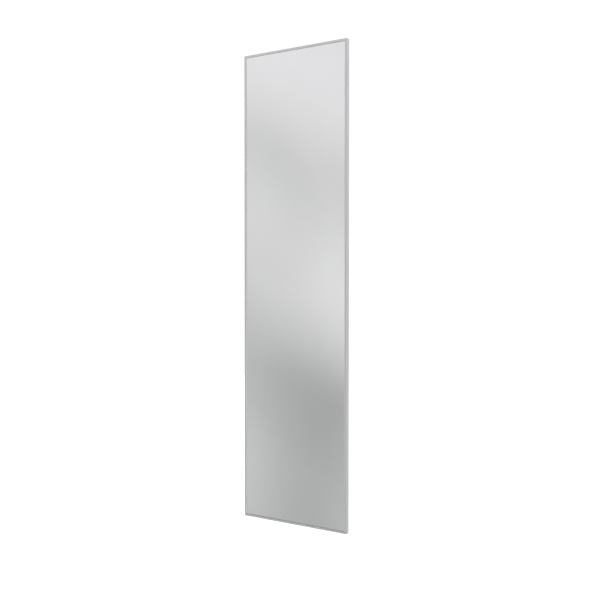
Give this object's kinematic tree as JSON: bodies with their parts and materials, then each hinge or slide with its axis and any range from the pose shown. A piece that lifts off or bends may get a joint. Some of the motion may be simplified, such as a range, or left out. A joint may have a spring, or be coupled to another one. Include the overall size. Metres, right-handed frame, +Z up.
{
  "type": "full length mirror",
  "caption": "Tall wall mirror: slim mitred aluminium frame round a silvered glass pane bonded to a fibreboard back, with swinging ring hangers and rubber wall bumpers.",
  "frame": {"origin": "on the wall plane, midway between the points where the two hanger rings bear on their wall hooks once swung up", "axes": "seen from the front of the mirror +X is right, +Z is up, and +Y runs from the pane back to the wall"},
  "size_m": [0.4, 0.0222, 1.6],
  "materials": {
    "anodised_frame": "extruded section, fine satin, natural silver anodising",
    "cast_brace": "as cast, dull",
    "screw_steel": "bright zinc plated, cross recess",
    "hanger_steel": "bright zinc plated",
    "float_glass": "clear polished float glass with ground edges",
    "silver_coat": "silvering seen through the glass",
    "safety_film": "thin pale polyethylene film",
    "edge_seal": "soft pale grey silicone strip",
    "carrier_rubber": "firm grey rubber strip that carries the pane",
    "pad_foam": "white double-sided foam",
    "fibreboard": "bare sanded medium-density fibreboard",
    "bumper_rubber": "soft black rubber, satin"
  },
  "bodies": {
    "mirror": {"bottom_rail": "anodised_frame", "left_stile": "anodised_frame", "top_rail": "anodised_frame", "right_stile": "anodised_frame", "edge_seal_bottom": "carrier_rubber", "board_screws_bottom": "screw_steel", "corner_screws_bottom": "screw_steel", "edge_seal_left": "edge_seal", "board_screws_left": "screw_steel", "corner_screws_left": "screw_steel", "edge_seal_top": "edge_seal", "board_screws_top": "screw_steel", "corner_screws_top": "screw_steel", "edge_seal_right": "edge_seal", "board_screws_right": "screw_steel", "corner_screws_right": "screw_steel", "corner_brace_bottom_left": "cast_brace", "wall_bumper_bottom_left": "bumper_rubber", "corner_brace_bottom_right": "cast_brace", "wall_bumper_bottom_right": "bumper_rubber", "corner_brace_top_left": "cast_brace", "wall_bumper_top_left": "bumper_rubber", "corner_brace_top_right": "cast_brace", "wall_bumper_top_right": "bumper_rubber", "mirror_glass": "float_glass", "silver_coat": "silver_coat", "safety_film": "safety_film", "backing_board": "fibreboard", "mounting_pad_1": "pad_foam", "mounting_pad_2": "pad_foam", "mounting_pad_3": "pad_foam", "mounting_pad_4": "pad_foam", "mounting_pad_5": "pad_foam", "mounting_pad_6": "pad_foam", "mounting_pad_7": "pad_foam", "mounting_pad_8": "pad_foam", "hanger_strap_left": "hanger_steel", "hanger_screws_left": "screw_steel", "hanger_strap_right": "hanger_steel", "hanger_screws_right": "screw_steel"},
    "ring_left": {"hanger_ring_left": "hanger_steel"},
    "ring_right": {"hanger_ring_right": "hanger_steel"}
  },
  "joints": [
    {"name": "ring_left_swing", "type": "hinge", "parent": "mirror", "child": "ring_left", "pos_m": [-0.15, -0.00345, -0.01575], "axis": [1, 0, 0], "range_deg": [0, 180]},
    {"name": "ring_right_swing", "type": "hinge", "parent": "mirror", "child": "ring_right", "pos_m": [0.15, -0.00345, -0.01575], "axis": [1, 0, 0], "range_deg": [0, 180]}
  ]
}
